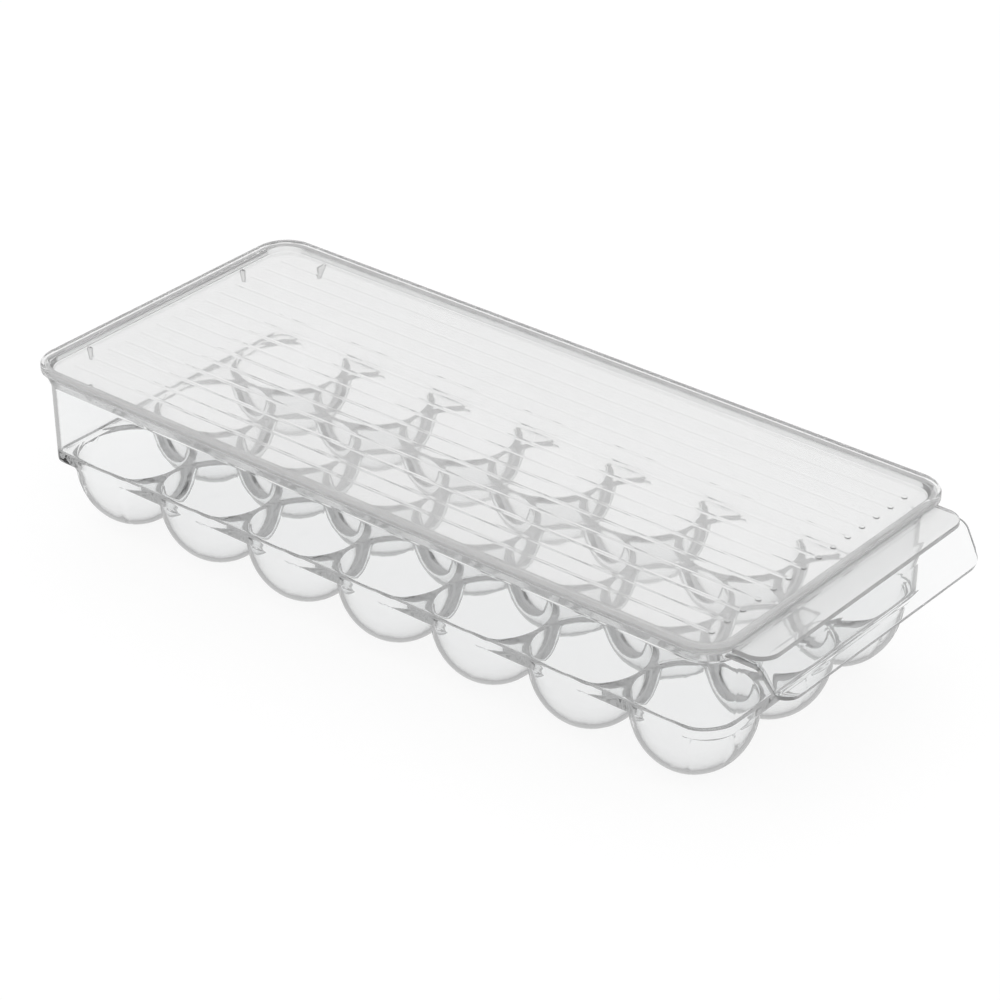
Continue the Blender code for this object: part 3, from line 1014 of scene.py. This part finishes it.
tree.links.new(shade, glow.inputs["Color"])
glow.inputs["Strength"].default_value = studio["glow"]
matt.inputs["Color"].default_value = (studio["matt"], studio["matt"], studio["matt"], 1)
tree.links.new(glow.outputs[0], add.inputs[0])
tree.links.new(matt.outputs[0], add.inputs[1])
tree.links.new(add.outputs[0], out.inputs["Surface"])
floorMesh.materials.append(paper)


# An object matrix from its three axes and its place
def placedMatrix(right, up, back, spot):
    return Matrix([[right[i], up[i], back[i], spot[i]] for i in range(3)] + [[0, 0, 0, 1]])


lamps = [
    {"name": "keyPanel", "place": (0.9, -0.5, 1.3), "size": 2.4, "power": 1.0},
    {"name": "backPanel", "place": (-0.8, 1.1, 1.2), "size": 2.4, "power": 0.8},
]
for lamp in lamps:
    data = bpy.data.lights.new(lamp["name"], "AREA")
    data.size = lamp["size"]
    data.energy = studio["lampPower"] * lamp["power"]
    item = bpy.data.objects.new(lamp["name"], data)
    bpy.context.scene.collection.objects.link(item)
    spot = np.array(lamp["place"])
    back = spot / np.linalg.norm(spot)
    right = np.cross((0, 0, 1), back)
    right /= np.linalg.norm(right)
    item.matrix_world = placedMatrix(right, np.cross(back, right), back, spot)
    item.visible_glossy = False
    item.visible_transmission = False
print("floor and lamps made")

shot = {
    "azimuth": 39.13,
    "elevation": 30.14,
    "roll": 0.14,
    "distance": 1.43668,
    "target": (-0.00262, 0.01802, 0),   # from the field's middle at level zero
    "lens": 127.1,
    "sensor": 36,
    "nearest": 0.05,
}
a, e, r = (math.radians(shot[k]) for k in ("azimuth", "elevation", "roll"))
view = np.array([math.sin(a) * math.cos(e), -math.cos(a) * math.cos(e), math.sin(e)])
spot = np.array(shot["target"]) + (originX, 0, shared["zeroHeight"]) + shot["distance"] * view
flatRight = np.array([math.cos(a), math.sin(a), 0])
flatUp = np.cross(view, flatRight)
right = math.cos(r) * flatRight + math.sin(r) * flatUp
up = -math.sin(r) * flatRight + math.cos(r) * flatUp
camera = bpy.data.objects.new("camera", bpy.data.cameras.new("camera"))
bpy.context.scene.collection.objects.link(camera)
camera.matrix_world = placedMatrix(right, up, view, spot)
camera.data.lens = shot["lens"]
camera.data.sensor_width = shot["sensor"]
camera.data.clip_start = shot["nearest"]
bpy.context.scene.camera = camera
print("camera placed")

# Clear walls behind each other need many bounces
bounces = {"most": 48, "through": 40, "mirrored": 40}
cycles = bpy.context.scene.cycles
cycles.max_bounces = bounces["most"]
cycles.transmission_bounces = bounces["through"]
cycles.glossy_bounces = bounces["mirrored"]
bpy.context.scene.view_settings.view_transform = "Standard"
